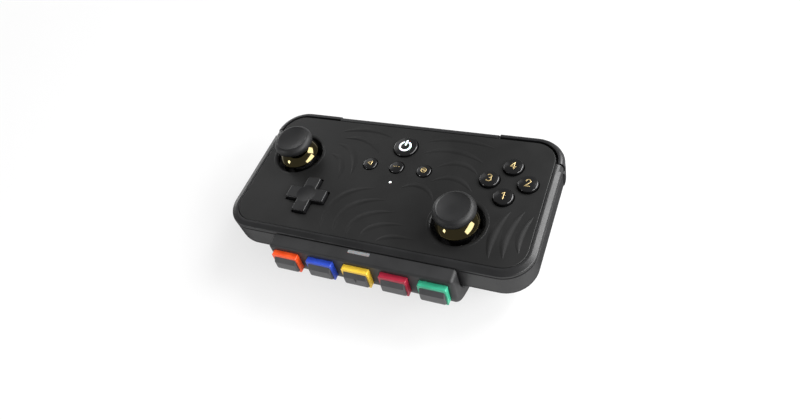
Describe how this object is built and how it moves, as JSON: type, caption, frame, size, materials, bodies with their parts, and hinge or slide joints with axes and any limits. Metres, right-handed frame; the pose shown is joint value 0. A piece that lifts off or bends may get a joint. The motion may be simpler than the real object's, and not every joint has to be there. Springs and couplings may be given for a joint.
{
  "type": "gamepad with guitar grip",
  "caption": "Slim gamepad with two thumb sticks, direction pad, shoulder keys and a slide-off guitar grip with coloured fret keys.",
  "frame": {"origin": "on the plane that the grip's rubber tread rests on, below the middle of the gamepad's face", "axes": "+X along the gamepad to its right end, +Y to the shoulder keys, +Z out of the face"},
  "size_m": [0.153, 0.089, 0.0413],
  "materials": {
    "shell": "fine texture, satin",
    "faceplate": "smooth satin",
    "shoulder": "satin",
    "grip": "fine texture",
    "gloss_key": "polished",
    "dpad": "satin",
    "stick_rubber": "matte",
    "gold": "dark gold vacuum plating",
    "fret_orange": "satin",
    "fret_blue": "satin",
    "fret_yellow": "satin",
    "fret_red": "satin",
    "fret_green": "satin",
    "fret_pad": "fine texture",
    "tread": "matte",
    "silicone": "matte",
    "board": "solder mask",
    "battery": "foil pouch",
    "steel": "plain",
    "switch": "stamped",
    "module": "moulded",
    "light": "diffusing"
  },
  "bodies": {
    "gamepad": {"faceplate": "faceplate", "front_frame": "shell", "back_shell": "shell", "main_board": "board", "battery": "battery", "usb_socket": "steel", "status_light_pipe": "light", "left_stick_module": "module", "right_stick_module": "module", "face_button_dome_pad": "silicone", "dpad_dome_pad": "silicone", "dpad_pivot_post": "module", "centre_switches": "switch", "shoulder_switches": "switch", "left_vibration_motor": "steel", "right_vibration_motor": "steel", "shell_screws": "steel", "shoulder_pins": "steel"},
    "grip": {"grip_shell": "grip", "grip_cover": "grip", "grip_tread": "tread", "grip_screws": "steel", "light_bar": "light", "fret_board": "board", "fret_dome_sheet": "silicone"},
    "dpad_ball": {"dpad_pivot_ball": "steel"},
    "dpad": {"dpad": "dpad"},
    "left_yoke": {"left_stick_yoke": "steel"},
    "left_rocker": {"left_stick_rocker": "module"},
    "left_stick": {"left_stick_shaft": "steel", "left_stick_dome": "gold", "left_stick_cap": "stick_rubber"},
    "right_yoke": {"right_stick_yoke": "steel"},
    "right_rocker": {"right_stick_rocker": "module"},
    "right_stick": {"right_stick_shaft": "steel", "right_stick_dome": "gold", "right_stick_cap": "stick_rubber"},
    "button_top": {"face_button_top": "gloss_key"},
    "button_right": {"face_button_right": "gloss_key"},
    "button_bottom": {"face_button_bottom": "gloss_key"},
    "button_left": {"face_button_left": "gloss_key"},
    "centre_left": {"centre_button_left": "gloss_key"},
    "centre_middle": {"centre_button_middle": "gloss_key"},
    "centre_right": {"centre_button_right": "gloss_key"},
    "home": {"home_button": "gloss_key"},
    "right_bumper": {"right_bumper": "shoulder"},
    "right_trigger": {"right_trigger": "shoulder"},
    "left_bumper": {"left_bumper": "shoulder"},
    "left_trigger": {"left_trigger": "shoulder"},
    "fret_orange": {"fret_key_orange": "fret_orange", "fret_pad_orange": "fret_pad"},
    "fret_blue": {"fret_key_blue": "fret_blue", "fret_pad_blue": "fret_pad"},
    "fret_yellow": {"fret_key_yellow": "fret_yellow", "fret_pad_yellow": "fret_pad"},
    "fret_red": {"fret_key_red": "fret_red", "fret_pad_red": "fret_pad"},
    "fret_green": {"fret_key_green": "fret_green", "fret_pad_green": "fret_pad"}
  },
  "joints": [
    {"name": "grip_slide", "type": "slide", "parent": "gamepad", "child": "grip", "axis": [0, -1, 0], "range_m": [0, 0.055]},
    {"name": "dpad_pitch", "type": "hinge", "parent": "gamepad", "child": "dpad_ball", "pos_m": [-0.038, -0.0154, 0.0236], "axis": [1, 0, 0], "range_deg": [-4, 4], "stiffness_Nm_per_rad": 0.15},
    {"name": "dpad_roll", "type": "hinge", "parent": "dpad_ball", "child": "dpad", "pos_m": [-0.038, -0.0154, 0.0236], "axis": [0, 1, 0], "range_deg": [-4, 4], "stiffness_Nm_per_rad": 0.15},
    {"name": "left_stick_pitch", "type": "hinge", "parent": "gamepad", "child": "left_yoke", "pos_m": [-0.0549, 0.0093, 0.0244], "axis": [1, 0, 0], "range_deg": [-17, 17], "stiffness_Nm_per_rad": 0.06},
    {"name": "left_stick_roll", "type": "hinge", "parent": "left_yoke", "child": "left_rocker", "pos_m": [-0.0549, 0.0093, 0.0244], "axis": [0, 1, 0], "range_deg": [-17, 17], "stiffness_Nm_per_rad": 0.06},
    {"name": "left_stick_click", "type": "slide", "parent": "left_rocker", "child": "left_stick", "axis": [0, 0, -1], "range_m": [0, 0.0006], "stiffness_N_per_m": 3000},
    {"name": "right_stick_pitch", "type": "hinge", "parent": "gamepad", "child": "right_yoke", "pos_m": [0.0388, -0.0162, 0.0244], "axis": [1, 0, 0], "range_deg": [-17, 17], "stiffness_Nm_per_rad": 0.06},
    {"name": "right_stick_roll", "type": "hinge", "parent": "right_yoke", "child": "right_rocker", "pos_m": [0.0388, -0.0162, 0.0244], "axis": [0, 1, 0], "range_deg": [-17, 17], "stiffness_Nm_per_rad": 0.06},
    {"name": "right_stick_click", "type": "slide", "parent": "right_rocker", "child": "right_stick", "axis": [0, 0, -1], "range_m": [0, 0.0006], "stiffness_N_per_m": 3000},
    {"name": "face_button_top_press", "type": "slide", "parent": "gamepad", "child": "button_top", "axis": [0, 0, -1], "range_m": [0, 0.0014], "stiffness_N_per_m": 600},
    {"name": "face_button_right_press", "type": "slide", "parent": "gamepad", "child": "button_right", "axis": [0, 0, -1], "range_m": [0, 0.0014], "stiffness_N_per_m": 600},
    {"name": "face_button_bottom_press", "type": "slide", "parent": "gamepad", "child": "button_bottom", "axis": [0, 0, -1], "range_m": [0, 0.0014], "stiffness_N_per_m": 600},
    {"name": "face_button_left_press", "type": "slide", "parent": "gamepad", "child": "button_left", "axis": [0, 0, -1], "range_m": [0, 0.0014], "stiffness_N_per_m": 600},
    {"name": "centre_button_left_press", "type": "slide", "parent": "gamepad", "child": "centre_left", "axis": [0, 0, -1], "range_m": [0, 0.0006], "stiffness_N_per_m": 1500},
    {"name": "centre_button_middle_press", "type": "slide", "parent": "gamepad", "child": "centre_middle", "axis": [0, 0, -1], "range_m": [0, 0.0006], "stiffness_N_per_m": 1500},
    {"name": "centre_button_right_press", "type": "slide", "parent": "gamepad", "child": "centre_right", "axis": [0, 0, -1], "range_m": [0, 0.0006], "stiffness_N_per_m": 1500},
    {"name": "home_button_press", "type": "slide", "parent": "gamepad", "child": "home", "axis": [0, 0, -1], "range_m": [0, 0.0006], "stiffness_N_per_m": 1500},
    {"name": "right_bumper_press", "type": "hinge", "parent": "gamepad", "child": "right_bumper", "pos_m": [0.0702, 0.0225, 0.02], "axis": [0, 0, 1], "range_deg": [0, 1.5], "stiffness_Nm_per_rad": 1},
    {"name": "right_trigger_press", "type": "hinge", "parent": "gamepad", "child": "right_trigger", "pos_m": [0.0702, 0.0225, 0.02], "axis": [0, 0, 1], "range_deg": [0, 3.5], "stiffness_Nm_per_rad": 0.4},
    {"name": "left_bumper_press", "type": "hinge", "parent": "gamepad", "child": "left_bumper", "pos_m": [-0.0702, 0.0225, 0.02], "axis": [0, 0, -1], "range_deg": [0, 1.5], "stiffness_Nm_per_rad": 1},
    {"name": "left_trigger_press", "type": "hinge", "parent": "gamepad", "child": "left_trigger", "pos_m": [-0.0702, 0.0225, 0.02], "axis": [0, 0, -1], "range_deg": [0, 3.5], "stiffness_Nm_per_rad": 0.4},
    {"name": "fret_orange_press", "type": "slide", "parent": "grip", "child": "fret_orange", "axis": [0, 1, 0], "range_m": [0, 0.0008], "stiffness_N_per_m": 1000},
    {"name": "fret_blue_press", "type": "slide", "parent": "grip", "child": "fret_blue", "axis": [0, 1, 0], "range_m": [0, 0.0008], "stiffness_N_per_m": 1000},
    {"name": "fret_yellow_press", "type": "slide", "parent": "grip", "child": "fret_yellow", "axis": [0, 1, 0], "range_m": [0, 0.0008], "stiffness_N_per_m": 1000},
    {"name": "fret_red_press", "type": "slide", "parent": "grip", "child": "fret_red", "axis": [0, 1, 0], "range_m": [0, 0.0008], "stiffness_N_per_m": 1000},
    {"name": "fret_green_press", "type": "slide", "parent": "grip", "child": "fret_green", "axis": [0, 1, 0], "range_m": [0, 0.0008], "stiffness_N_per_m": 1000}
  ]
}
